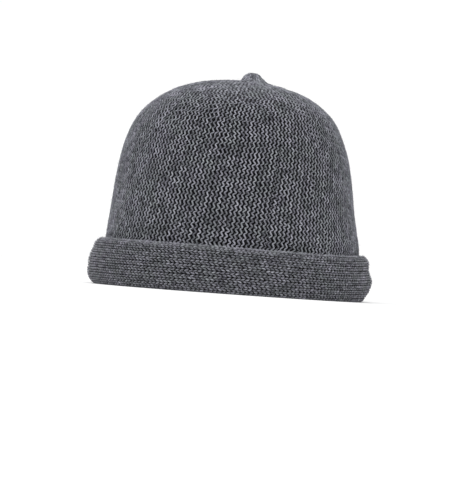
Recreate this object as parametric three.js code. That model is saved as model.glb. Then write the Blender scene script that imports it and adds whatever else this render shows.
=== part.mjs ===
// Knit cap: a domed crown drawn together into a small nub, and a knitted band turned up round its edge.
// Millimetres, +Z up. The front faces -Y, and the origin is at the middle of the surface it rests on.

import * as THREE from 'three';

// Driving dimensions
const FABRIC = 3.2; // thickness of the knitted wall
const CROWN_EDGE = 24; // height of the crown's lower edge, hidden behind the turned-up band
const SEAM_GAP = 0.3; // between the crown's edge and the band's inner leg, where they are linked
const CREASE_GAP = 0.5; // between the crown and the turned-up leg, low in the crease
const CREASE_MOUTH = 1.0; // the same at the top of the crease
const DEPTH_RATIO = 1.05; // front to back over side to side
const ROUND_BELOW = 45; // rings narrower than this half-width turn from oval to round
const SEGMENTS = 60; // facets round the head

// Outline of the crown from the front: how far it reaches to the left and right of the middle
const CROWN_OUTLINE = [
  { height: CROWN_EDGE, left: 92.6, right: 93.2 },
  { height: 39.4, left: 91.5, right: 92.2 },
  { height: 52.6, left: 90.2, right: 89.4 },
  { height: 65.7, left: 89.0, right: 86.9 },
  { height: 78.8, left: 87.7, right: 85.0 },
  { height: 92.0, left: 85.8, right: 82.6 },
  { height: 105.1, left: 83.0, right: 79.4 },
  { height: 118.3, left: 78.2, right: 74.1 },
  { height: 127.0, left: 72.9, right: 69.6 },
  { height: 135.8, left: 64.4, right: 61.6 },
  { height: 144.5, left: 51.4, right: 48.6 },
  { height: 149.2, left: 39.6, right: 35.8 },
  { height: 152.4, left: 25.0, right: 23.4 },
];

// Nub at the top, where the columns of stitches are drawn together; steep on its left side
const NUB_OUTLINE = [
  { height: 154.2, left: 4.4, right: 17.8 },
  { height: 156.0, left: 1.6, right: 15.6 },
  { height: 157.7, left: 0.4, right: 13.4 },
  { height: 159.5, left: -1.2, right: 11.6 },
  { height: 160.9, left: -3.4, right: 9.4 },
];
const NUB_TIP = { height: 161.4, left: -6.4, right: 6.4 };

// Highest point of the fabric under the nub, on its outer side
const DOME_TOP = { height: 154.4, left: 1.0, right: -1.0 };

// Turned-up band, by its angle round the head from the right end towards the back: the height of its
// top, and how far it stands off the crown's edge on the ground and at four heights
const BAND_SECTIONS = [
  { angle: 0, top: 33.6, sole: 3.4, fold: 6.5, bulge: 10.1, waist: 7.2, roll: 7.3 },
  { angle: 45, top: 32.8, sole: 4.2, fold: 7.8, bulge: 10.0, waist: 9.0, roll: 7.6 },
  { angle: 90, top: 32.4, sole: 4.6, fold: 8.4, bulge: 10.3, waist: 9.7, roll: 7.8 },
  { angle: 135, top: 32.6, sole: 4.7, fold: 8.8, bulge: 10.1, waist: 9.5, roll: 7.8 },
  { angle: 180, top: 33.4, sole: 4.8, fold: 9.6, bulge: 10.5, waist: 8.9, roll: 7.4 },
  { angle: 225, top: 32.5, sole: 4.7, fold: 8.8, bulge: 10.2, waist: 9.6, roll: 7.8 },
  { angle: 270, top: 32.0, sole: 4.5, fold: 8.2, bulge: 10.3, waist: 9.8, roll: 8.0 },
  { angle: 315, top: 31.8, sole: 4.0, fold: 7.6, bulge: 10.0, waist: 8.9, roll: 7.6 },
];
const FOLD_HEIGHT = 4.6; // height of the fold column
const BULGE_HEIGHT = 14.5; // height of the bulge column
const WAIST_SHARE = 0.7; // height of the waist column, as a share of the top
const MOUTH_DROP = 1.6; // how far below the top the crease opens out

// Rounded shoulder of the band: share of the roll column, and how far below the top
const SHOULDER = [
  { share: 1.0, drop: 6.3 },
  { share: 0.93, drop: 3.9 },
  { share: 0.68, drop: 1.5 },
  { share: 0.32, drop: 0 },
];
const SOLE_INNER = -0.8; // the flat underside goes from here, off the crown's edge, to the sole column
const INNER_ROUND = 3.0; // rounding of the fold on the head's side

// Number of rings up the outside and the inside of the crown, and of points on the band's outer curve
const OUTER_RINGS = 24;
const INNER_RINGS = 16;
const BAND_STEPS = 18;
const RING_CROWDING = 1.15; // above 1, the outer rings lie closer together towards the nub
const NORMAL_STEP = 0.004; // between points that give the surface's direction, in shares and radians

const WOOL_CROWN = 0x55565b;
const WOOL_BAND = 0x57575d;
const WOOL_ROUGHNESS = 0.95;

// A smooth line through an outline's rows, with left, right and height as its three coordinates
function outlineCurve(rows) {
  const points = rows.map((row) => new THREE.Vector3(row.left, row.right, row.height));
  return new THREE.CatmullRomCurve3(points, false, 'centripetal');
}

// The point at a share along an outline and an angle round the head
function pointOn(curve, share, angle) {
  const row = curve.getPointAt(share);
  const halfWidth = (row.x + row.y) / 2;
  const middle = (row.y - row.x) / 2;
  const ratio = THREE.MathUtils.lerp(1, DEPTH_RATIO, Math.min(halfWidth / ROUND_BELOW, 1));
  return new THREE.Vector3(
    middle + halfWidth * Math.cos(angle),
    halfWidth * ratio * Math.sin(angle),
    row.z,
  );
}

// The same point moved into the fabric by a depth, square to the surface
function insetPoint(curve, share, angle, depth) {
  const low = Math.max(share - NORMAL_STEP, 0);
  const high = Math.min(share + NORMAL_STEP, 1);
  const up = pointOn(curve, high, angle).sub(pointOn(curve, low, angle));
  const right = pointOn(curve, share, angle + NORMAL_STEP);
  const along = right.sub(pointOn(curve, share, angle - NORMAL_STEP));
  const normal = along.cross(up).normalize();
  return pointOn(curve, share, angle).addScaledVector(normal, -depth);
}

// One ring of points round the head
function ringOf(pointAt) {
  return Array.from({ length: SEGMENTS }, (_, i) => pointAt((2 * Math.PI * i) / SEGMENTS));
}

// A closed skin over a list of rings; a ring of one point is a pole, and a looped list joins up again
function skin(rings, looped) {
  const positions = [];
  const starts = [];
  for (const ring of rings) {
    starts.push(positions.length / 3);
    ring.forEach((point) => positions.push(point.x, point.y, point.z));
  }
  const corner = (ring, i) => starts[ring] + (rings[ring].length > 1 ? i % SEGMENTS : 0);
  const faces = [];
  const bands = looped ? rings.length : rings.length - 1;
  for (let ring = 0; ring < bands; ring++) {
    const next = (ring + 1) % rings.length;
    for (let i = 0; i < SEGMENTS; i++) {
      if (rings[ring].length > 1) {
        faces.push(corner(ring, i), corner(ring, i + 1), corner(next, i + 1));
      }
      if (rings[next].length > 1) {
        faces.push(corner(ring, i), corner(next, i + 1), corner(next, i));
      }
    }
  }
  const geometry = new THREE.BufferGeometry();
  geometry.setAttribute('position', new THREE.Float32BufferAttribute(positions, 3));
  geometry.setIndex(faces);
  return geometry;
}

// Crown: inside from the top down to the edge, then outside up to the nub
function crownGeometry() {
  const outside = outlineCurve([...CROWN_OUTLINE, ...NUB_OUTLINE, NUB_TIP]);
  const dome = outlineCurve([...CROWN_OUTLINE, DOME_TOP]);
  const rings = [];
  const domeTop = dome.getPointAt(1);
  rings.push([new THREE.Vector3((domeTop.y - domeTop.x) / 2, 0, domeTop.z - FABRIC)]);
  for (let i = 1; i <= INNER_RINGS; i++) {
    const share = 1 - i / INNER_RINGS;
    const ring = ringOf((angle) => insetPoint(dome, share, angle, FABRIC));
    if (i === INNER_RINGS) {
      ring.forEach((point) => point.setZ(CROWN_EDGE));
    }
    rings.push(ring);
  }
  for (let i = 0; i < OUTER_RINGS; i++) {
    const share = 1 - (1 - i / OUTER_RINGS) ** RING_CROWDING;
    rings.push(ringOf((angle) => pointOn(outside, share, angle)));
  }
  const tip = outside.getPointAt(1);
  rings.push([new THREE.Vector3((tip.y - tip.x) / 2, 0, tip.z)]);
  return skin(rings, false);
}

// A column of the band's table at any angle, smooth all the way round
function bandColumn(column) {
  const knots = BAND_SECTIONS.map((row) => new THREE.Vector3(row[column], 0, 0));
  const curve = new THREE.CatmullRomCurve3(knots, true, 'catmullrom');
  return (angle) => curve.getPoint((angle / (2 * Math.PI)) % 1).x;
}

// Section through the band at an angle, as distances off the crown's edge and heights
function bandSection(columns, angle) {
  const top = columns.top(angle);
  const roll = columns.roll(angle);
  const outer = [
    [columns.sole(angle), 0],
    [columns.fold(angle), FOLD_HEIGHT],
    [columns.bulge(angle), BULGE_HEIGHT],
    [columns.waist(angle), WAIST_SHARE * top],
    ...SHOULDER.map(({ share, drop }) => [share * roll, top - drop]),
    [CREASE_MOUTH, top - MOUTH_DROP],
    [CREASE_GAP, CROWN_EDGE + FABRIC / 2],
  ];
  const knots = outer.map(([off, height]) => new THREE.Vector3(off, height, 0));
  const curve = new THREE.CatmullRomCurve3(knots, false, 'centripetal');
  const section = curve.getSpacedPoints(BAND_STEPS).map((point) => [point.x, point.y]);
  const seam = CROWN_EDGE - SEAM_GAP;
  section.push([CREASE_GAP, seam]);
  section.push([-FABRIC, seam]);
  section.push([-FABRIC, INNER_ROUND]);
  section.push([-FABRIC + INNER_ROUND * (1 - Math.SQRT1_2), INNER_ROUND * (1 - Math.SQRT1_2)]);
  section.push([SOLE_INNER, 0]);
  return section;
}

// Band: the section is carried round the crown's edge, and its distances are square to that edge
function bandGeometry() {
  const edge = CROWN_OUTLINE[0];
  const halfWidth = (edge.left + edge.right) / 2;
  const middle = (edge.right - edge.left) / 2;
  const halfDepth = halfWidth * DEPTH_RATIO;
  const names = ['top', 'sole', 'fold', 'bulge', 'waist', 'roll'];
  const columns = Object.fromEntries(names.map((name) => [name, bandColumn(name)]));
  const sections = ringOf((angle) => bandSection(columns, angle));
  const rings = sections[0].map((_, k) => sections.map((section, i) => {
    const angle = (2 * Math.PI * i) / SEGMENTS;
    const [off, height] = section[k];
    const normal = new THREE.Vector2(Math.cos(angle) / halfWidth, Math.sin(angle) / halfDepth).normalize();
    return new THREE.Vector3(
      middle + halfWidth * Math.cos(angle) + off * normal.x,
      halfDepth * Math.sin(angle) + off * normal.y,
      height,
    );
  }));
  return skin(rings, true);
}

function knitted(name, geometry, color) {
  const material = new THREE.MeshStandardMaterial({ color, roughness: WOOL_ROUGHNESS, metalness: 0 });
  geometry.computeVertexNormals();
  const mesh = new THREE.Mesh(geometry, material);
  mesh.name = name;
  return mesh;
}

const group = new THREE.Group();
group.add(knitted('crown', crownGeometry(), WOOL_CROWN));
group.add(knitted('brim', bandGeometry(), WOOL_BAND));

export default group;
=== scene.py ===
"""Grey wool knit cap with a drawn-in top and a turned-up band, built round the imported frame."""

from math import cos, pi, radians, sin, tau

import bpy
import numpy as np
from mathutils import Matrix, Vector


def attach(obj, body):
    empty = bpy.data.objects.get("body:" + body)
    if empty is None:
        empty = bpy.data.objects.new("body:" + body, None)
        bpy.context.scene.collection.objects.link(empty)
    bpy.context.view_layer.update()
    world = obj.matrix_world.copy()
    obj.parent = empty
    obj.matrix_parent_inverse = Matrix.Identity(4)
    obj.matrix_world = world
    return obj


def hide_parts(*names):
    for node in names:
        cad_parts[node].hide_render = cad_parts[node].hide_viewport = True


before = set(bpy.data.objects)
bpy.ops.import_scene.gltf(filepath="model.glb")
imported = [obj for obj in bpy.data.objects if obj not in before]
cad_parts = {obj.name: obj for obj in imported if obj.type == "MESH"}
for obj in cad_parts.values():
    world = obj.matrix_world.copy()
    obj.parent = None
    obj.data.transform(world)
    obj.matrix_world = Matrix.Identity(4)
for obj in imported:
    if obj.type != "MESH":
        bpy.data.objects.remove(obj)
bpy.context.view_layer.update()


# Crown fabric
# The knitted wall behind the raised stitches: one hollow dome of thick grey wool, from the edge
# that the turned-up band hides up to the drawn-in top. Its outside is the ground between the
# stitches, coloured near black as painted shade, and its inside shows the backs of the same rows.

MM = 0.001
FABRIC = 3.2 * MM  # thickness of the knitted wall
CROWN_EDGE = 24.0 * MM
CEILING = 151.2 * MM  # highest point of the inside
DEPTH_RATIO = 1.05  # front to back over side to side
ROUND_BELOW = 45.0 * MM  # rings with a smaller half-width turn from oval to round
OUTLINE_STEPS = 24
WALES = 184  # columns of stitches round the crown
STITCH = 3.75 * MM  # height of one stitch
GROUND_DEPTH = 0.6 * MM  # how far the ground lies behind the crown's face
GROUND_AROUND = 180
GROUND_UP = 60
GROUND_CROWDING = 1.1  # above 1, the rings lie closer together towards the top
# Painted shade: the near-black colour of the ground in the gaps between the stitches
PAINTED_GAP_SHADE = (0.0095, 0.0095, 0.0115)
INSIDE_COLOUR = (0.17, 0.171, 0.185)
PURL_WAVE = 1.2  # how far the purl rows wave up and down, in radians of a row
PURL_LOW = 0.3  # shade between two purl rows
PURL_HIGH = 1.4  # light on a purl row
GATHER_FROM = 74.0 * MM  # half-width at which the columns start to be drawn together
GATHER_TO = 24.0 * MM

# Outline seen from the front: height, reach to the left and reach to the right, in millimetres
CROWN_OUTLINE = (
    (24.0, 92.6, 93.2),
    (39.4, 91.5, 92.2),
    (52.6, 90.2, 89.4),
    (65.7, 89.0, 86.9),
    (78.8, 87.7, 85.0),
    (92.0, 85.8, 82.6),
    (105.1, 83.0, 79.4),
    (118.3, 78.2, 74.1),
    (127.0, 72.9, 69.6),
    (135.8, 64.4, 61.6),
    (144.5, 51.4, 48.6),
    (149.2, 39.6, 35.8),
    (152.4, 25.0, 23.4),
    (154.2, 4.4, 17.8),
    (156.0, 1.6, 15.6),
    (157.7, 0.4, 13.4),
    (159.5, -1.2, 11.6),
    (160.9, -3.4, 9.4),
    (161.4, -6.4, 6.4),
)


def smooth_line(rows, steps):
    """A smooth line through rows of numbers, with some steps between each two rows."""
    knots = np.asarray(rows, float)
    knots = np.vstack([2 * knots[0] - knots[1], knots, 2 * knots[-1] - knots[-2]])
    gaps = np.maximum(np.linalg.norm(np.diff(knots, axis=0), axis=1) ** 0.5, 1e-9)
    t = np.linspace(0, 1, steps, endpoint=False)[:, None]
    spans = []
    for i in range(1, len(knots) - 2):
        before, here, after = gaps[i - 1], gaps[i], gaps[i + 1]
        a, b, c, d = knots[i - 1], knots[i], knots[i + 1], knots[i + 2]
        leave = ((b - a) / before - (c - a) / (before + here) + (c - b) / here) * here
        reach = ((c - b) / here - (d - b) / (here + after) + (d - c) / after) * here
        spans.append(
            (2 * t**3 - 3 * t**2 + 1) * b
            + (t**3 - 2 * t**2 + t) * leave
            + (3 * t**2 - 2 * t**3) * c
            + (t**3 - t**2) * reach
        )
    spans.append(knots[-2:-1])
    return np.vstack(spans)


crown_height, crown_left, crown_right = (smooth_line(CROWN_OUTLINE, OUTLINE_STEPS) * MM).T
crown_half = (crown_left + crown_right) / 2
crown_middle = (crown_right - crown_left) / 2
crown_depth = crown_half * (1 + (DEPTH_RATIO - 1) * np.minimum(crown_half / ROUND_BELOW, 1))
crown_steps = np.hypot(np.diff(crown_half), np.diff(crown_height))
crown_climb = np.concatenate([[0], np.cumsum(crown_steps)])
CROWN_LENGTH = crown_climb[-1]


def crown_point(climb, angle):
    """The place on the crown's face at a distance up from its edge and an angle round the head."""
    half = np.interp(climb, crown_climb, crown_half)
    depth = np.interp(climb, crown_climb, crown_depth)
    middle = np.interp(climb, crown_climb, crown_middle)
    height = np.interp(climb, crown_climb, crown_height)
    return np.stack([middle + half * np.cos(angle), depth * np.sin(angle), height], -1)


def unit(v):
    """The same directions, each with a length of one."""
    return v / np.maximum(np.linalg.norm(v, axis=-1, keepdims=True), 1e-12)


def crown_directions(climb, angle):
    """Unit directions round the head, up the crown and out of it."""
    reach, turn = 0.6 * MM, 0.004
    low = np.clip(climb - reach, 0, CROWN_LENGTH - 2 * reach)
    high = np.clip(climb + reach, reach, CROWN_LENGTH - reach)
    up = unit(crown_point(high, angle) - crown_point(low, angle))
    below_tip = np.minimum(climb, CROWN_LENGTH - reach)
    around = unit(crown_point(below_tip, angle + turn) - crown_point(below_tip, angle - turn))
    return around, up, unit(np.cross(around, up))


def gathered(radius):
    """How far the fabric is drawn together: 0 over the dome, 1 at the nub."""
    share = np.clip((GATHER_FROM - radius) / (GATHER_FROM - GATHER_TO), 0, 1)
    return share * share * (3 - 2 * share)


def grid_faces(rows, columns, closed_rows=False, closed_columns=False):
    """Four-cornered faces over a grid of points that is numbered row by row."""
    r = np.arange(rows if closed_rows else rows - 1)[:, None]
    c = np.arange(columns if closed_columns else columns - 1)[None, :]
    r2, c2 = (r + 1) % rows, (c + 1) % columns
    corners = [r * columns + c, r * columns + c2, r2 * columns + c2, r2 * columns + c]
    return np.stack(np.broadcast_arrays(*corners), -1).reshape(-1, 4)


def new_piece(name, points, faces, layers):
    """A smooth mesh object. A face with the same corner twice is a triangle."""
    points = np.asarray(points, np.float32).reshape(-1, 3)
    used, faces = np.unique(faces, return_inverse=True)
    faces = faces.reshape(-1, 4)
    kept = faces != np.roll(faces, 1, axis=1)
    sizes = kept.sum(1)
    mesh = bpy.data.meshes.new(name)
    mesh.vertices.add(len(used))
    mesh.vertices.foreach_set("co", points[used].ravel())
    mesh.loops.add(int(sizes.sum()))
    mesh.loops.foreach_set("vertex_index", faces[kept].astype(np.int32))
    mesh.polygons.add(len(faces))
    starts = np.concatenate([[0], np.cumsum(sizes)[:-1]]).astype(np.int32)
    mesh.polygons.foreach_set("loop_start", starts)
    mesh.polygons.foreach_set("use_smooth", np.ones(len(faces), bool))
    for layer, values in layers.items():
        values = np.broadcast_to(values, points.shape[:1]) if np.ndim(values) == 0 else values
        data = mesh.attributes.new(layer, "FLOAT", "POINT").data
        data.foreach_set("value", np.asarray(values, np.float32).ravel()[used])
    mesh.update(calc_edges=True)
    piece = bpy.data.objects.new(name, mesh)
    bpy.context.scene.collection.objects.link(piece)
    return piece


def node_of(tree, kind, settings=None, **inputs):
    """A new shader node with its settings and the values of its unlinked inputs."""
    node = tree.nodes.new(kind)
    for key, value in (settings or {}).items():
        setattr(node, key, value)
    for key, value in inputs.items():
        node.inputs[key.replace("_", " ")].default_value = value
    return node


def new_material(name):
    """A new material, with its node tree and its Principled shader."""
    material = bpy.data.materials.new(name)
    material.use_nodes = True
    return material, material.node_tree, material.node_tree.nodes["Principled BSDF"]


def ground_wool():
    """Painted shade on the wool between the stitches, and the wavy purl rows of the inside."""
    material, tree, shader = new_material("gap_shade_and_inside_wool")
    shader.inputs["Roughness"].default_value = 1.0
    shader.inputs["Specular IOR Level"].default_value = 0.1
    link = tree.links.new
    place = node_of(tree, "ShaderNodeTexCoord")
    inside = node_of(tree, "ShaderNodeAttribute", {"attribute_name": "inside"})
    rise = node_of(tree, "ShaderNodeAttribute", {"attribute_name": "rise"})
    fibres = node_of(tree, "ShaderNodeTexNoise", Scale=1300.0, Detail=3.0, Roughness=0.6)
    link(place.outputs["Object"], fibres.inputs["Vector"])

    # Purl rows: one wave for each column round the head, and one row for each course up
    parts = node_of(tree, "ShaderNodeSeparateXYZ")
    link(place.outputs["Object"], parts.inputs["Vector"])
    turn = node_of(tree, "ShaderNodeMath", {"operation": "ARCTAN2"})
    link(parts.outputs["Y"], turn.inputs[0])
    link(parts.outputs["X"], turn.inputs[1])
    column = node_of(tree, "ShaderNodeMath", {"operation": "MULTIPLY"})
    column.inputs[1].default_value = WALES
    link(turn.outputs["Value"], column.inputs[0])
    wave = node_of(tree, "ShaderNodeMath", {"operation": "COSINE"})
    link(column.outputs["Value"], wave.inputs[0])
    course = node_of(tree, "ShaderNodeMath", {"operation": "MULTIPLY"})
    course.inputs[1].default_value = tau * MM / STITCH
    link(rise.outputs["Fac"], course.inputs[0])
    wavy = node_of(tree, "ShaderNodeMath", {"operation": "MULTIPLY_ADD"})
    wavy.inputs[1].default_value = PURL_WAVE
    link(wave.outputs["Value"], wavy.inputs[0])
    link(course.outputs["Value"], wavy.inputs[2])
    row = node_of(tree, "ShaderNodeMath", {"operation": "SINE"})
    link(wavy.outputs["Value"], row.inputs[0])
    purl = node_of(tree, "ShaderNodeMapRange", From_Min=-1.0, To_Min=PURL_LOW, To_Max=PURL_HIGH)
    link(row.outputs["Value"], purl.inputs["Value"])

    # Colour: painted gap shade or the inside's own wool, with the fibres' flecks on it
    shade = node_of(tree, "ShaderNodeMix", {"data_type": "RGBA"})
    shade.inputs["A"].default_value = (*PAINTED_GAP_SHADE, 1)
    shade.inputs["B"].default_value = (*INSIDE_COLOUR, 1)
    link(inside.outputs["Fac"], shade.inputs["Factor"])
    fleck = node_of(tree, "ShaderNodeMapRange", From_Min=0.3, From_Max=0.7, To_Min=0.7, To_Max=1.3)
    link(fibres.outputs["Fac"], fleck.inputs["Value"])
    # The purl rows are painted into the colour too: shade between the rows and light on them
    relief = node_of(tree, "ShaderNodeMath", {"operation": "MULTIPLY"})
    link(purl.outputs["Result"], relief.inputs[0])
    link(fleck.outputs["Result"], relief.inputs[1])
    tint = node_of(tree, "ShaderNodeVectorMath", {"operation": "SCALE"})
    link(shade.outputs["Result"], tint.inputs[0])
    link(relief.outputs["Value"], tint.inputs["Scale"])
    link(tint.outputs["Vector"], shader.inputs["Base Color"])
    bump = node_of(tree, "ShaderNodeBump", Strength=0.6, Distance=0.6 * MM)
    link(relief.outputs["Value"], bump.inputs["Height"])
    link(bump.outputs["Normal"], shader.inputs["Normal"])
    return material


def crown_ground():
    """The crown's wall: its inside from the top down to the edge, then its outside back up."""
    angle = np.linspace(0, tau, GROUND_AROUND, endpoint=False)[None, :]
    share = np.linspace(0, 1, GROUND_UP)[:, None]
    climb = CROWN_LENGTH * (1 - (1 - share) ** GROUND_CROWDING)
    climb = np.tile(climb, (1, GROUND_AROUND))
    _, _, out = crown_directions(climb, angle)
    face = crown_point(climb, angle)
    outer = face - out * GROUND_DEPTH
    inner = face - out * FABRIC
    inner[..., 2] = np.minimum(inner[..., 2], CEILING)
    outer[0, :, 2] = CROWN_EDGE
    inner[0, :, 2] = CROWN_EDGE
    outer[-1] = outer[-1].mean(0)
    inner[-1] = inner[-1].mean(0)
    rings = np.concatenate([inner[::-1], outer])
    faces = grid_faces(len(rings), GROUND_AROUND, closed_columns=True)
    top = (len(rings) - 1) * GROUND_AROUND
    faces = np.where(faces < GROUND_AROUND, 0, np.where(faces >= top, top, faces))
    # The outside's ground has the painted gap shade, less of it near the nub where the yarn packs
    # tight
    shade_lifted = gathered(np.interp(climb, crown_climb, crown_half))
    light = np.concatenate([np.ones_like(shade_lifted), shade_lifted])
    rise = np.concatenate([climb[::-1], climb]) / MM
    return new_piece("crown_fabric", rings, faces, {"inside": light, "rise": rise})


ground = ground_wool()
crown_fabric = crown_ground()
crown_fabric.data.materials.append(ground)
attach(crown_fabric, "root")
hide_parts("crown")


# Crown stitches
# Raised zigzag columns of thick grey melange yarn, which lean a little to the right as they climb.
# Columns end one by one where the dome narrows, and the last are drawn together into the nub.
# They are knitted in one with the wall, and are kept in four panels.

WALE_SPACING = 2.9 * MM
WIDEST = 1.12  # widest spacing that the yarn still fills, in wale spacings
NUB_RADIUS = 9.0 * MM
NUB_SPACING = 1.9 * MM
NUB_WALES = 8
ENDING = 0.03  # how slowly a column ends, as a share of all columns
ENDING_ORDER = 0.6180339887  # spreads the columns that end evenly round the crown
MARKS = 600  # heights at which the columns are laid out
LEAN = radians(9.5)
COURSE_SLOPE = 7  # stitches that a course climbs in one turn round the head
FIRST_STITCH = 3.0 * MM
LAST_STITCH = 0.4 * MM  # short of the top
PHASE_SPREAD = 0.07  # unevenness in height between columns, in stitches
DRIFT = 0.5  # slow unevenness in height along a column, in stitches
DRIFT_WAVES = 9
DRIFT_SLOWEST = (3, 5, 0)  # waves round the head, radians up the crown, start
DRIFT_FASTEST = (40, 40, tau)
SWAY = 0.83 * MM  # of the zigzag to each side
SWAY_SPREAD = 0.14
SIDE_SPREAD = 0.1
LIFT_SPREAD = 0.06
LEAST_SQUEEZE = 0.15
NUB_SQUEEZE = 0.6  # how much of the sway is lost at the nub
NUB_FLATNESS = 0.1  # how much of the lift is lost at the nub
STRAND_FULLNESS = 0.415  # width of the yarn over the spacing of the columns
NUB_FULLNESS = 0.86
STRAND_FOOT = 0.72 * MM  # how deep the yarn is let into the wall
STRAND_HEIGHT = 0.92 * MM
LEAST_PRESENCE = 0.02
PACKED_LIGHT = 0.75  # how much of the shade is lost where the yarns are packed tight
STREAK_START = 9  # longest shift of the streaks along a column, in millimetres
PLEATS = 9
PLEAT_DEPTH = 0.35 * MM
PLEAT_SWIRL = 1.4
PLEAT_SHADE = 0.08
NUB_TIP = 5.0 * MM
NUB_FOOT = 14.0 * MM
NUB_FOOT_REACH = 4.0 * MM
NUB_FOOT_SHADE = 0.07
PLIES_PER_MM = 0.55
SEED = 11

# The four quarters of the crown, from the right end towards the back
PANELS = ("back_right", "back_left", "front_left", "front_right")

# One stitch, as it climbs: share of the stitch, sway to the side, lift and width. The yarn
# crosses to the right by a short low link, which its lift paints in shade, and goes back to the
# left by a longer, thicker part.
ZIGZAG = (
    (0.05, -0.97, 0.95, 1.00),
    (0.15, -0.45, 0.88, 0.88),
    (0.26, 0.45, 0.88, 0.86),
    (0.36, 0.96, 0.93, 0.96),
    (0.45, 0.98, 0.96, 1.03),
    (0.61, 0.38, 0.97, 1.07),
    (0.78, -0.36, 0.97, 1.07),
    (0.94, -0.97, 0.97, 1.04),
)
# Corners of the yarn's section, from its foot on one side over the top to the other
YARN_SECTION = ((-1.0, 0.0), (-0.58, 1.0), (0.58, 1.0), (1.0, 0.0))

YARN_LIGHT = (0.388, 0.394, 0.424)
YARN_DARK = (0.112, 0.114, 0.13)
PATCH_DARK = (0.84, 0.88, 0.87, 1)
PATCH_LIGHT = (1.09, 1.07, 1.15, 1)
STREAK_STRETCH = (1.3, 3.5, 1.0)
TONE_WEIGHT = 0.07
PLY_SLANT = 0.55  # turns from the middle of the yarn to its side
PLY_RELIEF = 0.22

rng = np.random.default_rng(SEED)


def uneven(angle, climb, waves):
    """A slow unevenness over the crown, from -1 to 1."""
    total = 0
    for turns, rises, start in waves:
        total = total + np.sin(turns * angle + rises * climb / CROWN_LENGTH + start)
    return total / len(waves)


def wales_at(climb):
    """How many columns run round the crown at a distance up from its edge."""
    half = np.interp(climb, crown_climb, crown_half)
    depth = np.interp(climb, crown_climb, crown_depth)
    spacing = np.interp(half, (NUB_RADIUS, ROUND_BELOW), (NUB_SPACING, WALE_SPACING))
    return np.clip(pi * (half + depth) / spacing, NUB_WALES, WALES)


def crown_strands():
    """Points, presence and stitch values of every column, column by column."""
    # Course of each column: it ends where the dome is too narrow for it, and it leans
    marks = np.linspace(0, CROWN_LENGTH, MARKS)
    rank = (np.arange(WALES) * ENDING_ORDER) % 1.0
    here = (wales_at(marks)[None, :] / WALES - rank[:, None]) / ENDING + 0.5
    here = np.clip(here, 0, 1)
    here = here * here * (3 - 2 * here)
    share = (np.cumsum(here, 0) - here / 2) / here.sum(0)
    radius = np.maximum(np.interp(marks, crown_climb, crown_half), NUB_RADIUS)
    swirl = np.tan(LEAN) * np.concatenate([[0], np.cumsum(np.diff(marks) / radius[1:])])
    turn = tau * share + swirl

    # Height of each stitch on its column
    table = np.array(ZIGZAG)
    count = int((CROWN_LENGTH - FIRST_STITCH) / STITCH) + 1
    steps = (np.arange(count)[:, None] + table[None, :, 0]).ravel()
    wale = np.arange(WALES)[:, None]
    offset = (wale * COURSE_SLOPE / WALES) % 1.0 + rng.normal(0, PHASE_SPREAD, (WALES, 1))
    waves = rng.uniform(DRIFT_SLOWEST, DRIFT_FASTEST, (DRIFT_WAVES, 3)).round(1)
    waves[:, 0] = waves[:, 0].round()
    drift = DRIFT * uneven(tau * wale / WALES, steps[None, :] * STITCH, waves)
    climb = FIRST_STITCH + (steps[None, :] - offset + drift) * STITCH
    climb = np.clip(climb, FIRST_STITCH, CROWN_LENGTH - LAST_STITCH)
    angle = np.stack([np.interp(climb[k], marks, turn[k]) for k in range(WALES)])
    presence = np.stack([np.interp(climb[k], marks, here[k]) for k in range(WALES)])

    # Sway, lift and width of the yarn, which lies flatter and straighter towards the nub
    stitches = rng.normal(0, 1, (3, WALES, count))
    side_jitter, lift_jitter, tone = np.repeat(stitches, len(table), axis=2)
    side, lift, width = (np.tile(table[:, i], count)[None, :] for i in (1, 2, 3))
    radius = np.interp(climb, crown_climb, crown_half)
    near_nub = gathered(radius)
    spacing = tau * radius / wales_at(climb)
    squeeze = np.clip(spacing / (tau * crown_half[0] / WALES), LEAST_SQUEEZE, 1.0)
    squeeze = squeeze * (1 - NUB_SQUEEZE * near_nub)
    sway = SWAY * squeeze * (side * (1 + SWAY_SPREAD * side_jitter) + SIDE_SPREAD * side_jitter)
    around, _, out = crown_directions(climb, angle)
    lift = lift * (1 + LIFT_SPREAD * lift_jitter) * (1 - NUB_FLATNESS * near_nub)
    top = STRAND_HEIGHT * np.clip(lift, 0.5, 1.1) * (0.5 + 0.5 * presence)

    # Nub: the fabric falls into small pleats, with painted shade in their valleys and round its
    # foot
    folded = near_nub**3 * np.clip(radius / NUB_TIP, 0, 1)
    pleat = folded * np.cos(PLEATS * (angle + PLEAT_SWIRL * radius / GATHER_TO))
    foot = np.exp(-(((radius - NUB_FOOT) / NUB_FOOT_REACH) ** 2))
    shadow = PLEAT_SHADE * (folded - pleat) + NUB_FOOT_SHADE * foot
    centre = crown_point(climb, angle) + around * sway[..., None]
    centre = centre + out * PLEAT_DEPTH * pleat[..., None]
    across = unit(np.cross(np.gradient(centre, axis=1), out))
    fullness = STRAND_FULLNESS + (NUB_FULLNESS - STRAND_FULLNESS) * near_nub
    half_width = fullness / 2 * np.minimum(spacing, WALE_SPACING * WIDEST) * width * presence

    # The section of the yarn at every point of its course
    section = np.array(YARN_SECTION)
    points = (
        centre[..., None, :]
        + across[..., None, :] * (section[:, 0] * half_width[..., None])[..., None]
        + out[..., None, :] * (section[:, 1] * top[..., None] - STRAND_FOOT)[..., None]
    )
    flat = np.zeros(points.shape[:3])
    # Lift layer: painted shade low on the yarn, in the pleat valleys and round the nub's foot
    lift = section[:, 1] * (top / STRAND_HEIGHT)[..., None]
    lift = lift + (1 - lift) * PACKED_LIGHT * near_nub[..., None]
    start = rng.uniform(0, STREAK_START, (WALES, 1, 1))
    layers = {
        "tone": tone[..., None] + flat,
        "lift": lift * (1 - shadow[..., None]),
        "along": (steps * STITCH / MM)[None, :, None] + start + flat,
        "across": section[:, 0] + flat,
    }
    return points, presence, layers


def capped(faces, first, last):
    """Faces of a length of yarn, closed by the corners of its first and its last row."""
    return np.concatenate([faces, [first[::-1]], [last]])


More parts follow.
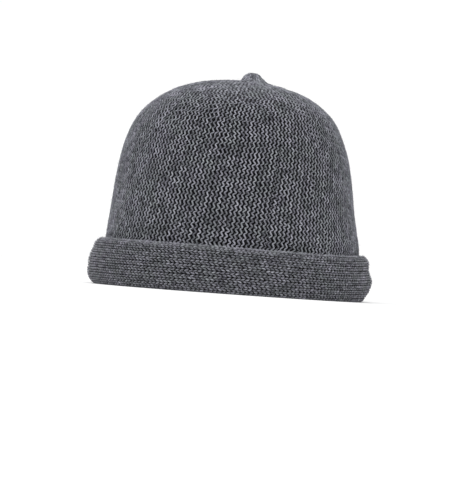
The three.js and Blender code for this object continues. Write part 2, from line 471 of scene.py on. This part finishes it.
def melange_wool():
    """Shader group of melange yarn: its light and dark fibres, its plies and its painted shade."""
    group = bpy.data.node_groups.new("melange_wool", "ShaderNodeTree")
    for name, kind, value in (
        ("Light", "NodeSocketColor", (*YARN_LIGHT, 1)),
        ("Dark", "NodeSocketColor", (*YARN_DARK, 1)),
        ("Shade", "NodeSocketFloat", 0.35),
        ("Plies per mm", "NodeSocketFloat", PLIES_PER_MM),
    ):
        socket = group.interface.new_socket(name, in_out="INPUT", socket_type=kind)
        socket.default_value = value
    group.interface.new_socket("Colour", in_out="OUTPUT", socket_type="NodeSocketColor")
    group.interface.new_socket("Roughness", in_out="OUTPUT", socket_type="NodeSocketFloat")
    group.interface.new_socket("Height", in_out="OUTPUT", socket_type="NodeSocketFloat")
    given = group.nodes.new("NodeGroupInput")
    made = group.nodes.new("NodeGroupOutput")
    link = group.links.new

    place = node_of(group, "ShaderNodeTexCoord")
    tone = node_of(group, "ShaderNodeAttribute", {"attribute_name": "tone"})
    lift = node_of(group, "ShaderNodeAttribute", {"attribute_name": "lift"})
    along = node_of(group, "ShaderNodeAttribute", {"attribute_name": "along"})
    across = node_of(group, "ShaderNodeAttribute", {"attribute_name": "across"})
    flecks = node_of(group, "ShaderNodeTexNoise", Scale=900.0, Detail=4.0, Roughness=0.65)
    patches = node_of(group, "ShaderNodeTexNoise", Scale=95.0, Detail=2.0)
    fine_hairs = node_of(group, "ShaderNodeTexNoise", Scale=3800.0, Detail=2.0)
    for noise in (flecks, patches, fine_hairs):
        link(place.outputs["Object"], noise.inputs["Vector"])

    # Fibre mix: fine flecks, streaks along the yarn, and a little difference from stitch to stitch
    yarn_place = node_of(group, "ShaderNodeCombineXYZ")
    link(along.outputs["Fac"], yarn_place.inputs["X"])
    link(across.outputs["Fac"], yarn_place.inputs["Y"])
    streaks = node_of(group, "ShaderNodeTexNoise", Scale=1.0, Detail=3.0, Roughness=0.6)
    stretched = node_of(group, "ShaderNodeVectorMath", {"operation": "MULTIPLY"})
    stretched.inputs[1].default_value = STREAK_STRETCH
    link(yarn_place.outputs["Vector"], stretched.inputs[0])
    link(stretched.outputs["Vector"], streaks.inputs["Vector"])
    streaked = node_of(group, "ShaderNodeMix", {"data_type": "FLOAT"}, Factor=0.35)
    link(flecks.outputs["Fac"], streaked.inputs["A"])
    link(streaks.outputs["Fac"], streaked.inputs["B"])
    toned = node_of(group, "ShaderNodeMath", {"operation": "MULTIPLY_ADD"})
    toned.inputs[1].default_value = TONE_WEIGHT
    link(tone.outputs["Fac"], toned.inputs[0])
    link(streaked.outputs["Result"], toned.inputs[2])
    mixed = node_of(group, "ShaderNodeMapRange", From_Min=0.37, From_Max=0.65)
    link(toned.outputs["Value"], mixed.inputs["Value"])
    fibres = node_of(group, "ShaderNodeMix", {"data_type": "RGBA"})
    link(mixed.outputs["Result"], fibres.inputs["Factor"])
    link(given.outputs["Dark"], fibres.inputs["A"])
    link(given.outputs["Light"], fibres.inputs["B"])
    tinted = node_of(group, "ShaderNodeMix", {"data_type": "RGBA", "blend_type": "MULTIPLY"})
    tint = node_of(group, "ShaderNodeValToRGB")
    tint.color_ramp.elements[0].position = 0.35
    tint.color_ramp.elements[0].color = PATCH_DARK
    tint.color_ramp.elements[1].position = 0.65
    tint.color_ramp.elements[1].color = PATCH_LIGHT
    link(patches.outputs["Fac"], tint.inputs["Fac"])
    tinted.inputs["Factor"].default_value = 1.0
    link(fibres.outputs["Result"], tinted.inputs["A"])
    link(tint.outputs["Color"], tinted.inputs["B"])

    # Painted shade low on the yarn, where it sinks between its neighbours
    depth = node_of(group, "ShaderNodeMapRange", {"interpolation_type": "SMOOTHSTEP"})
    depth.inputs["From Min"].default_value = 0.22
    depth.inputs["From Max"].default_value = 1.05
    link(lift.outputs["Fac"], depth.inputs["Value"])
    link(given.outputs["Shade"], depth.inputs["To Min"])

    # Plies that wind slantwise round the yarn, with painted shade between them, and its fine hairs
    lay = node_of(group, "ShaderNodeMath", {"operation": "MULTIPLY"})
    link(along.outputs["Fac"], lay.inputs[0])
    link(given.outputs["Plies per mm"], lay.inputs[1])
    slant = node_of(group, "ShaderNodeMath", {"operation": "MULTIPLY_ADD"})
    slant.inputs[1].default_value = PLY_SLANT
    link(across.outputs["Fac"], slant.inputs[0])
    link(lay.outputs["Value"], slant.inputs[2])
    turned = node_of(group, "ShaderNodeMath", {"operation": "MULTIPLY"})
    turned.inputs[1].default_value = tau
    link(slant.outputs["Value"], turned.inputs[0])
    ply = node_of(group, "ShaderNodeMath", {"operation": "SINE"})
    link(turned.outputs["Value"], ply.inputs[0])
    between = node_of(group, "ShaderNodeMapRange", From_Min=-1.0, To_Min=0.8, To_Max=1.08)
    link(ply.outputs["Value"], between.inputs["Value"])
    painted_shade = node_of(group, "ShaderNodeMath", {"operation": "MULTIPLY"})
    link(depth.outputs["Result"], painted_shade.inputs[0])
    link(between.outputs["Result"], painted_shade.inputs[1])
    shaded = node_of(group, "ShaderNodeVectorMath", {"operation": "SCALE"})
    link(tinted.outputs["Result"], shaded.inputs[0])
    link(painted_shade.outputs["Value"], shaded.inputs["Scale"])
    link(shaded.outputs["Vector"], made.inputs["Colour"])
    height = node_of(group, "ShaderNodeMath", {"operation": "MULTIPLY_ADD"})
    height.inputs[1].default_value = PLY_RELIEF
    link(ply.outputs["Value"], height.inputs[0])
    link(fine_hairs.outputs["Fac"], height.inputs[2])
    link(height.outputs["Value"], made.inputs["Height"])
    rough = node_of(group, "ShaderNodeMapRange", To_Min=0.85, To_Max=1.0)
    link(fine_hairs.outputs["Fac"], rough.inputs["Value"])
    link(rough.outputs["Result"], made.inputs["Roughness"])
    return group


wool_group = melange_wool()


def yarn_wool(name, light, dark, shade, plies, sheen):
    """Dull, slightly fuzzy yarn: the melange group in its own colours, with a soft sheen."""
    material, tree, shader = new_material(name)
    wool = node_of(tree, "ShaderNodeGroup", {"node_tree": wool_group})
    wool.inputs["Light"].default_value = (*light, 1)
    wool.inputs["Dark"].default_value = (*dark, 1)
    wool.inputs["Shade"].default_value = shade
    wool.inputs["Plies per mm"].default_value = plies
    bump = node_of(tree, "ShaderNodeBump", Strength=0.7, Distance=0.3 * MM)
    shader.inputs["Specular IOR Level"].default_value = 0.15
    shader.inputs["Sheen Weight"].default_value = sheen
    shader.inputs["Sheen Roughness"].default_value = 0.5
    tree.links.new(wool.outputs["Colour"], shader.inputs["Base Color"])
    tree.links.new(wool.outputs["Roughness"], shader.inputs["Roughness"])
    tree.links.new(wool.outputs["Height"], bump.inputs["Height"])
    tree.links.new(bump.outputs["Normal"], shader.inputs["Normal"])
    return material


crown_yarn = yarn_wool(
    "crown_yarn", YARN_LIGHT, YARN_DARK, shade=0.04, plies=PLIES_PER_MM, sheen=0.1
)
strand_points, strand_presence, strand_layers = crown_strands()
samples, corners = strand_points.shape[1:3]
strand_faces = grid_faces(samples, corners, closed_columns=True)
for number, panel in enumerate(PANELS):
    chosen = []
    for k in range(number * WALES // 4, (number + 1) * WALES // 4):
        length = int((strand_presence[k] > LEAST_PRESENCE).sum())
        rows = np.arange(length * corners).reshape(length, corners)
        strand = capped(strand_faces[: (length - 1) * corners], rows[0], rows[-1])
        chosen.append(strand + k * samples * corners)
    faces = np.concatenate(chosen)
    piece = new_piece(f"crown_stitches_{panel}", strand_points, faces, strand_layers)
    piece.data.materials.append(crown_yarn)
    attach(piece, "root")


# Turned-up band
# A band knitted sideways in the same wool. Its inner leg goes on from the crown's edge, it folds at
# the bottom, and its thick outer leg stands round the crown with a soft rounded top.

SEAM_GAP = 0.3 * MM  # between the crown's edge and the inner leg, where they are linked
CREASE_GAP = 0.5 * MM  # between the crown and the outer leg, low in the crease
CREASE_MOUTH = 1.0 * MM  # the same at the top of the crease
MOUTH_DROP = 1.6 * MM  # how far below the top the crease opens out
FOLD_HEIGHT = 4.6 * MM
BULGE_HEIGHT = 14.5 * MM
WAIST_SHARE = 0.7  # height of the waist as a share of the top
TOE_HEIGHT = 1.4 * MM  # a point between the fold and the sole
WAIST_FILL = 0.4 * MM  # how much fuller than straight it is from waist to bulge
FOLD_FILL = 0.7 * MM  # the same from bulge to fold
TOE_FILL = 0.1 * MM  # the same from fold to sole
SOLE_INNER = -0.8 * MM  # inner edge of the flat underside
LOWEST_GROUND = 0.2 * MM  # of the band's body over the floor
INNER_ROUND = 3.0 * MM  # rounding of the fold on the head's side
BAND_AROUND = 240
BAND_PATH = 260
BAND_CURVE_STEPS = 12
BAND_GROUND_DEPTH = 0.8 * MM  # how far the band's body lies under its face

# Rounded shoulder of the band, from the crease outwards: share of the roll, drop in millimetres
SHOULDER = ((0.32, 0.0), (0.68, 1.5), (0.93, 3.9), (1.0, 6.3))

# Height of the top, and how far the band stands off the crown's edge at its sole, fold, bulge,
# waist and roll, in millimetres, for every eighth of a turn from the right end towards the back
BAND_SECTIONS = {
    "top": (33.6, 32.8, 32.4, 32.6, 33.4, 32.5, 32.0, 31.8),
    "sole": (3.4, 4.2, 4.6, 4.7, 4.8, 4.7, 4.5, 4.0),
    "fold": (6.5, 7.8, 8.4, 8.8, 9.6, 8.8, 8.2, 7.6),
    "bulge": (10.1, 10.0, 10.3, 10.1, 10.5, 10.2, 10.3, 10.0),
    "waist": (7.2, 9.0, 9.7, 9.5, 8.9, 9.6, 9.8, 8.9),
    "roll": (7.3, 7.6, 7.8, 7.8, 7.4, 7.8, 8.0, 7.6),
}


def band_column(name, angle):
    """A column of the band's table at any angle, smooth all the way round."""
    waves = np.fft.rfft(BAND_SECTIONS[name]) / len(BAND_SECTIONS[name])
    total = np.full_like(angle, waves[0].real)
    for turns in (1, 2, 3):
        total += 2 * (waves[turns] * np.exp(1j * turns * angle)).real
    return (total + waves[4].real * np.cos(4 * angle)) * MM


def band_grid():
    """The band's face: from the crease over the top, down, under the fold and up inside."""
    angles = np.linspace(0, tau, BAND_AROUND, endpoint=False)
    named = {name: band_column(name, angles) for name in BAND_SECTIONS}
    half, depth, middle = crown_half[0], crown_depth[0], crown_middle[0]
    seam = CROWN_EDGE - SEAM_GAP
    slope = INNER_ROUND * (1 - 0.5**0.5)
    under = [
        (SOLE_INNER, 0.0),
        (slope - FABRIC, slope),
        (-FABRIC, INNER_ROUND),
        (-FABRIC, seam),
    ]
    columns = []
    for i, angle in enumerate(angles):
        top, sole, fold, bulge, waist, roll = (named[name][i] for name in BAND_SECTIONS)
        waist_height = WAIST_SHARE * top
        knots = [
            (CREASE_GAP, CROWN_EDGE + FABRIC / 2),
            (CREASE_MOUTH, top - MOUTH_DROP),
            *((share * roll, top - drop * MM) for share, drop in SHOULDER),
            (waist, waist_height),
            (0.5 * (waist + bulge) + WAIST_FILL, 0.5 * (waist_height + BULGE_HEIGHT)),
            (bulge, BULGE_HEIGHT),
            (0.35 * bulge + 0.65 * fold + FOLD_FILL, 0.36 * BULGE_HEIGHT + 0.64 * FOLD_HEIGHT),
            (fold, FOLD_HEIGHT),
            (0.45 * fold + 0.55 * sole + TOE_FILL, TOE_HEIGHT),
            (sole, 0.0),
        ]
        curve = smooth_line(knots, BAND_CURVE_STEPS)
        line = np.vstack([[(CREASE_GAP, seam)], curve, under])
        line[:, 1] = np.maximum(line[:, 1], 0)
        run = np.concatenate([[0], np.cumsum(np.linalg.norm(np.diff(line, axis=0), axis=1))])
        even = np.linspace(0, run[-1], BAND_PATH)
        off = np.interp(even, run, line[:, 0])
        height = np.interp(even, run, line[:, 1])
        normal = unit(np.array([cos(angle) / half, sin(angle) / depth]))
        x = middle + half * cos(angle) + off * normal[0]
        y = depth * sin(angle) + off * normal[1]
        columns.append(np.stack([x, y, height], -1))
    return np.stack(columns, 1)


BAND_GRID = band_grid()
BAND_LENGTH = np.linalg.norm(np.diff(BAND_GRID, axis=0), axis=-1).sum(0).mean()


def band_point(run, angle):
    """The place on the band's face at a distance along its section and an angle round the head."""
    row = np.clip(run / BAND_LENGTH, 0, 1) * (BAND_PATH - 1)
    column = (angle / tau) % 1.0 * BAND_AROUND
    r = np.minimum(row.astype(int), BAND_PATH - 2)
    c = column.astype(int) % BAND_AROUND
    u, v = (row - r)[..., None], (column - np.floor(column))[..., None]
    c2 = (c + 1) % BAND_AROUND
    low = BAND_GRID[r, c] * (1 - v) + BAND_GRID[r, c2] * v
    high = BAND_GRID[r + 1, c] * (1 - v) + BAND_GRID[r + 1, c2] * v
    return low * (1 - u) + high * u


def band_directions(run, angle):
    """Unit directions round the head, along the section and out of the band."""
    reach, turn = 0.8 * MM, 0.03
    low = np.clip(run - reach, 0, BAND_LENGTH - reach)
    along = unit(band_point(np.minimum(run + reach, BAND_LENGTH), angle) - band_point(low, angle))
    around = unit(band_point(run, angle + turn) - band_point(run, angle - turn))
    return around, along, unit(np.cross(along, around))


def band_ground():
    """The band's own body under its stitches, closed across the seam."""
    rows, columns = np.meshgrid(
        np.linspace(0, BAND_LENGTH, BAND_PATH // 3),
        np.linspace(0, tau, BAND_AROUND, endpoint=False),
        indexing="ij",
    )
    _, _, out = band_directions(rows, columns)
    points = band_point(rows, columns) - out * BAND_GROUND_DEPTH
    points[..., 2] = np.maximum(points[..., 2], LOWEST_GROUND)
    points[[0, -1], :, 2] = CROWN_EDGE - SEAM_GAP
    faces = grid_faces(*rows.shape, closed_rows=True, closed_columns=True)[:, ::-1]
    # Its face takes the full painted gap shade of the ground material
    return new_piece("brim_fabric", points, faces, {"inside": 0.0, "rise": rows / MM})


brim_fabric = band_ground()
brim_fabric.data.materials.append(ground)
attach(brim_fabric, "root")
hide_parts("brim")


# Band stitches
# The band's rows run round the head, so its small pointed stitches lie on their sides, in two rows
# of short strokes for each ridge. They wrap over the top, under the fold and up inside.

RIDGE = 3.5 * MM  # height of one ridge of stitches
FIRST_RIDGE = 1  # the ridge before it is hidden in the crease
OUTSIDE_SHARE = 0.64  # of the ridges, those that can be seen from outside
BAND_STITCHES = 206  # in one row round the head
RIDGE_SHIFT = 0.37  # from one ridge to the next, in stitches
STROKE_OVERLAP = 1.06
STROKE_HALF_WIDTH = 0.63 * MM
STROKE_HEIGHT = 1.2 * MM
STROKE_FOOT = 0.95 * MM  # how deep a stroke is let into the band's body
STROKE_LENGTH = 4.0  # that the streaks run along one stroke, in millimetres
STREAK_SPREAD = 9  # of the streaks along a stroke, in millimetres
PLACE_SPREAD = 0.04
SLANT_SPREAD = 0.08
HEIGHT_SPREAD = 0.1
WIDTH_SPREAD = 0.12
BEND_WIDENING = 0.25
# Painted light: how much the tone is raised over the two bends
BEND_LIGHT = 0.75
BAND_TONE = 0.75  # difference in tone from stitch to stitch
BAND_LIGHT = (0.34, 0.343, 0.37)
BAND_DARK = (0.076, 0.076, 0.09)

# One stroke from the stitch's open end to its point: share, spread, lift and width
STROKE = (
    (0.00, 0.82, 0.45, 0.45),
    (0.28, 0.67, 0.95, 0.95),
    (0.64, 0.43, 1.00, 1.05),
    (1.00, 0.20, 0.35, 0.40),
)
# The two bends, where the fabric is smoother, with less painted shade and painted light:
# place and reach, counted in ridges
TOP_BEND = (2.75, 0.6)
BOTTOM_BEND = (15.2, 0.8)


def bend_at(ridge, middle, reach):
    """How near a ridge is to a bend of the fabric: 1 on it, and 0 well away."""
    return np.exp(-(((ridge - middle) / reach) ** 2))


def band_strokes(ridges, number_of_ridges):
    """Points and stitch values of the strokes of some ridges."""
    table = np.array(STROKE)
    section = np.array(YARN_SECTION)
    ridge, leg, stitch = np.meshgrid(ridges, (-1, 1), np.arange(BAND_STITCHES), indexing="ij")
    jitter = rng.normal(0, 1, (4,) + ridge.shape)
    centre = (ridge + 0.5) * BAND_LENGTH / number_of_ridges
    shift = (ridge * RIDGE_SHIFT) % 1.0
    share, spread, lift, width = table.T
    stroke = (share - 0.5) * STROKE_OVERLAP + PLACE_SPREAD * jitter[0][..., None]
    angle = tau * (stitch[..., None] + shift[..., None] + stroke) / BAND_STITCHES
    spread = spread * (1 + SLANT_SPREAD * jitter[1][..., None])
    run = centre[..., None] + leg[..., None] * RIDGE / 2 * spread
    middle = band_point(run, angle)
    _, _, out = band_directions(run, angle)
    across = unit(np.cross(np.gradient(middle, axis=-2), out))
    bends = (bend_at(centre / RIDGE, *bend) for bend in (TOP_BEND, BOTTOM_BEND))
    bend = np.maximum(*bends)[..., None]
    top = STROKE_HEIGHT * lift * (1 + HEIGHT_SPREAD * jitter[2][..., None])
    half_width = STROKE_HALF_WIDTH * width * (1 + WIDTH_SPREAD * jitter[0][..., None])
    half_width = half_width * (1 + BEND_WIDENING * bend)
    points = (
        middle[..., None, :]
        + across[..., None, :] * (section[:, 0] * half_width[..., None])[..., None]
        + out[..., None, :] * (section[:, 1] * top[..., None] - STROKE_FOOT)[..., None]
    )
    points[..., 2] = np.maximum(points[..., 2], 0.0)
    corners = len(section)
    rows = np.arange(len(share) * corners).reshape(-1, corners)
    faces = capped(grid_faces(len(share), corners, closed_columns=True), rows[0], rows[-1])
    faces = (faces[None] + np.arange(ridge.size)[:, None, None] * rows.size).reshape(-1, 4)
    flat = np.zeros(points.shape[:-1])
    lift = section[:, 1] * (top / STROKE_HEIGHT)[..., None] + flat
    start = jitter[0][..., None, None] * STREAK_SPREAD
    # Tone holds each stitch's random tone and painted light over the bends; lift paints shade
    layers = {
        "tone": BAND_TONE * jitter[3][..., None, None] + BEND_LIGHT * bend[..., None] + flat,
        "lift": lift + (1 - lift) * PACKED_LIGHT * bend[..., None],
        "along": (share * STROKE_LENGTH)[:, None] + start + flat,
        "across": section[:, 0] + flat,
    }
    return points, faces, layers


band_yarn = yarn_wool(
    "band_yarn", BAND_LIGHT, BAND_DARK, shade=0.18, plies=PLIES_PER_MM, sheen=0.2
)
number_of_ridges = round(BAND_LENGTH / RIDGE)
outer_ridges = round(OUTSIDE_SHARE * number_of_ridges)
for name, ridges in (
    ("brim_stitches_outside", np.arange(FIRST_RIDGE, outer_ridges)),
    ("brim_stitches_inside", np.arange(outer_ridges, number_of_ridges)),
):
    piece = new_piece(name, *band_strokes(ridges, number_of_ridges))
    piece.data.materials.append(band_yarn)
    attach(piece, "root")


# Loose fibres
# Fine grey hairs that work out of the wool all over the outside. Most lie along the surface with
# both ends caught, and some stand off it. Each is a thin closed thread with pointed ends.

CROWN_HAIRS = 9500
CROWN_HAIR_STEPS = 400  # heights between which the crown's hairs are spread evenly
BAND_HAIRS = 4200
BAND_HAIR_ZONE = (0.1, 0.55)  # of the band's section, the shares that hairs start in
HAIR_RADIUS = 0.042 * MM
HAIR_LENGTH = (1.4 * MM, 4.2 * MM)
HAIR_LIFT = 0.28 * MM
HAIR_LIFT_SPREAD = 0.6
HAIR_FOOT = 0.15 * MM  # how deep a caught end lies in the wool
HAIR_CURL = 0.25
HAIR_TONE = 1.6
LOWEST_HAIR = 0.05 * MM  # over the floor
FREE_END_SHARE = 0.25  # of the hairs, those with a free end
FREE_END_LIFT = 1.5  # of a free end, in lifts of the hair's middle
HAIR_LIGHT = (0.5, 0.51, 0.54)
HAIR_DARK = (0.2, 0.2, 0.22)

# A hair from one end to the other: share of its length, share of its lift, thickness
HAIR = ((0.0, -1.0, 0.0), (0.33, 0.8, 1.0), (0.7, 1.0, 0.9), (1.0, -1.0, 0.0))


def hairs(start, heading, out, side):
    """Points, faces and values of hairs that start at some places, each along its heading."""
    count = len(start)
    share, rise, thickness = np.array(HAIR).T
    length = rng.uniform(*HAIR_LENGTH, count)[:, None, None]
    lift = HAIR_LIFT * rng.lognormal(0, HAIR_LIFT_SPREAD, count)[:, None]
    free = rng.random(count)[:, None] < FREE_END_SHARE
    high = np.where(rise[None, :] > 0, rise * lift, -HAIR_FOOT)
    high = np.where(free & (share[None, :] == 1.0), FREE_END_LIFT * lift, high)
    bend = rng.normal(0, HAIR_CURL, count)[:, None] * share * (1 - share) * 4
    line = (
        start[:, None, :]
        + heading[:, None, :] * length * share[:, None]
        + side[:, None, :] * length * 0.5 * bend[..., None]
        + out[:, None, :] * high[..., None]
    )
    turn = np.array([0, tau / 3, 2 * tau / 3])
    ring = side[:, None, None, :] * np.cos(turn)[:, None]
    ring = ring + out[:, None, None, :] * np.sin(turn)[:, None]
    points = line[:, :, None, :] + ring * (HAIR_RADIUS * thickness)[:, None, None]
    faces = grid_faces(len(share), len(turn), closed_columns=True)
    tip = (len(share) - 1) * len(turn)
    faces = np.where(faces < len(turn), 0, np.where(faces >= tip, tip, faces))
    faces = (faces[None] + np.arange(count)[:, None, None] * (tip + len(turn))).reshape(-1, 4)
    flat = np.zeros(points.shape[:3])
    layers = {
        "tone": rng.normal(0, HAIR_TONE, count)[:, None, None] + flat,
        "lift": 1.0 + flat,
        "along": flat,
        "across": flat,
    }
    return points, faces, layers


def headings(around, up, out):
    """A random heading along the surface for each place, and the direction to its side."""
    turn = rng.uniform(0, tau, len(around))[:, None]
    heading = around * np.cos(turn) + up * np.sin(turn)
    return heading, unit(np.cross(out, heading))


hair_wool = yarn_wool("loose_fibres", HAIR_LIGHT, HAIR_DARK, shade=1.0, plies=0.0, sheen=0.1)

heights = np.linspace(FIRST_STITCH, CROWN_LENGTH, CROWN_HAIR_STEPS)
room = np.cumsum(np.interp(heights, crown_climb, crown_half))
climb = np.interp(rng.random(CROWN_HAIRS), room / room[-1], heights)
angle = rng.uniform(0, tau, CROWN_HAIRS)
around, up, out = crown_directions(climb, angle)
heading, side = headings(around, up, out)
crown_fuzz = new_piece("crown_fuzz", *hairs(crown_point(climb, angle), heading, out, side))
crown_fuzz.data.materials.append(hair_wool)
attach(crown_fuzz, "root")

run = rng.uniform(*BAND_HAIR_ZONE, BAND_HAIRS) * BAND_LENGTH
angle = rng.uniform(0, tau, BAND_HAIRS)
around, along, out = band_directions(run, angle)
heading, side = headings(around, along, out)
brim_hairs, faces, layers = hairs(band_point(run, angle), heading, out, side)
brim_hairs[..., 2] = np.maximum(brim_hairs[..., 2], LOWEST_HAIR)
brim_fuzz = new_piece("brim_fuzz", brim_hairs, faces, layers)
brim_fuzz.data.materials.append(hair_wool)
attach(brim_fuzz, "root")


# Floor, light and camera
# A plain pale floor under soft studio light. The camera looks from straight in front, just above
# the floor, and is turned a few degrees, as the hat hangs a little to the right in the picture.

FLOOR_SIZE = 60.0
CAMERA_PLACE = Vector((0.0, -1.3, 0.014))
AIM = Vector((-0.0007, 0.0, 0.0312))
VIEW_ROLL = radians(4.1)
PICTURE_HEIGHT = 500
PIXEL = 0.73 * MM
SENSOR = 24.0
ROOM_LIGHT = 0.3
WALL_WHITE = 1.02

bpy.ops.mesh.primitive_plane_add(size=FLOOR_SIZE, location=(0, 0, 0))
floor = bpy.context.object
floor.name = "floor"
floor_paint, _, floor_shader = new_material("floor_paint")
floor_shader.inputs["Base Color"].default_value = (0.93, 0.93, 0.93, 1)
floor_shader.inputs["Roughness"].default_value = 0.9
floor_shader.inputs["Emission Color"].default_value = (1, 1, 1, 1)
floor_shader.inputs["Emission Strength"].default_value = 0.2
floor.data.materials.append(floor_paint)

# The wall behind is plain white to the camera, and lights the hat softly from all sides
world = bpy.data.worlds.new("studio")
bpy.context.scene.world = world
world.use_nodes = True
studio = world.node_tree
wall = studio.nodes["Background"]
wall.inputs["Color"].default_value = (1, 1, 1, 1)
seen = node_of(studio, "ShaderNodeLightPath")
strength = node_of(studio, "ShaderNodeMapRange", To_Min=ROOM_LIGHT, To_Max=WALL_WHITE)
studio.links.new(seen.outputs["Is Camera Ray"], strength.inputs["Value"])
studio.links.new(strength.outputs["Result"], wall.inputs["Strength"])


def soft_light(name, direction, spread, strength):
    """A broad, even light that shines along a direction."""
    light = bpy.data.lights.new(name, "SUN")
    light.angle = radians(spread)
    light.energy = strength
    lamp = bpy.data.objects.new(name, light)
    bpy.context.scene.collection.objects.link(lamp)
    lamp.rotation_euler = Vector(direction).to_track_quat("-Z", "Y").to_euler()


soft_light("overhead_light", (0.12, 0.35, -1.0), 70, 2.0)
soft_light("front_light", (0.06, 1.0, -0.35), 60, 1.3)

camera_data = bpy.data.cameras.new("camera")
camera = bpy.data.objects.new("camera", camera_data)
bpy.context.scene.collection.objects.link(camera)
sight = AIM - CAMERA_PLACE
level = sight.to_track_quat("-Z", "Y").to_matrix().to_4x4()
rolled = level @ Matrix.Rotation(VIEW_ROLL, 4, "Z")
camera.matrix_world = Matrix.Translation(CAMERA_PLACE) @ rolled
camera_data.sensor_fit = "VERTICAL"
camera_data.sensor_height = SENSOR
camera_data.lens = SENSOR * sight.length / (PICTURE_HEIGHT * PIXEL)
camera_data.clip_start = 0.01
bpy.context.scene.camera = camera
bpy.context.scene.view_settings.view_transform = "Standard"
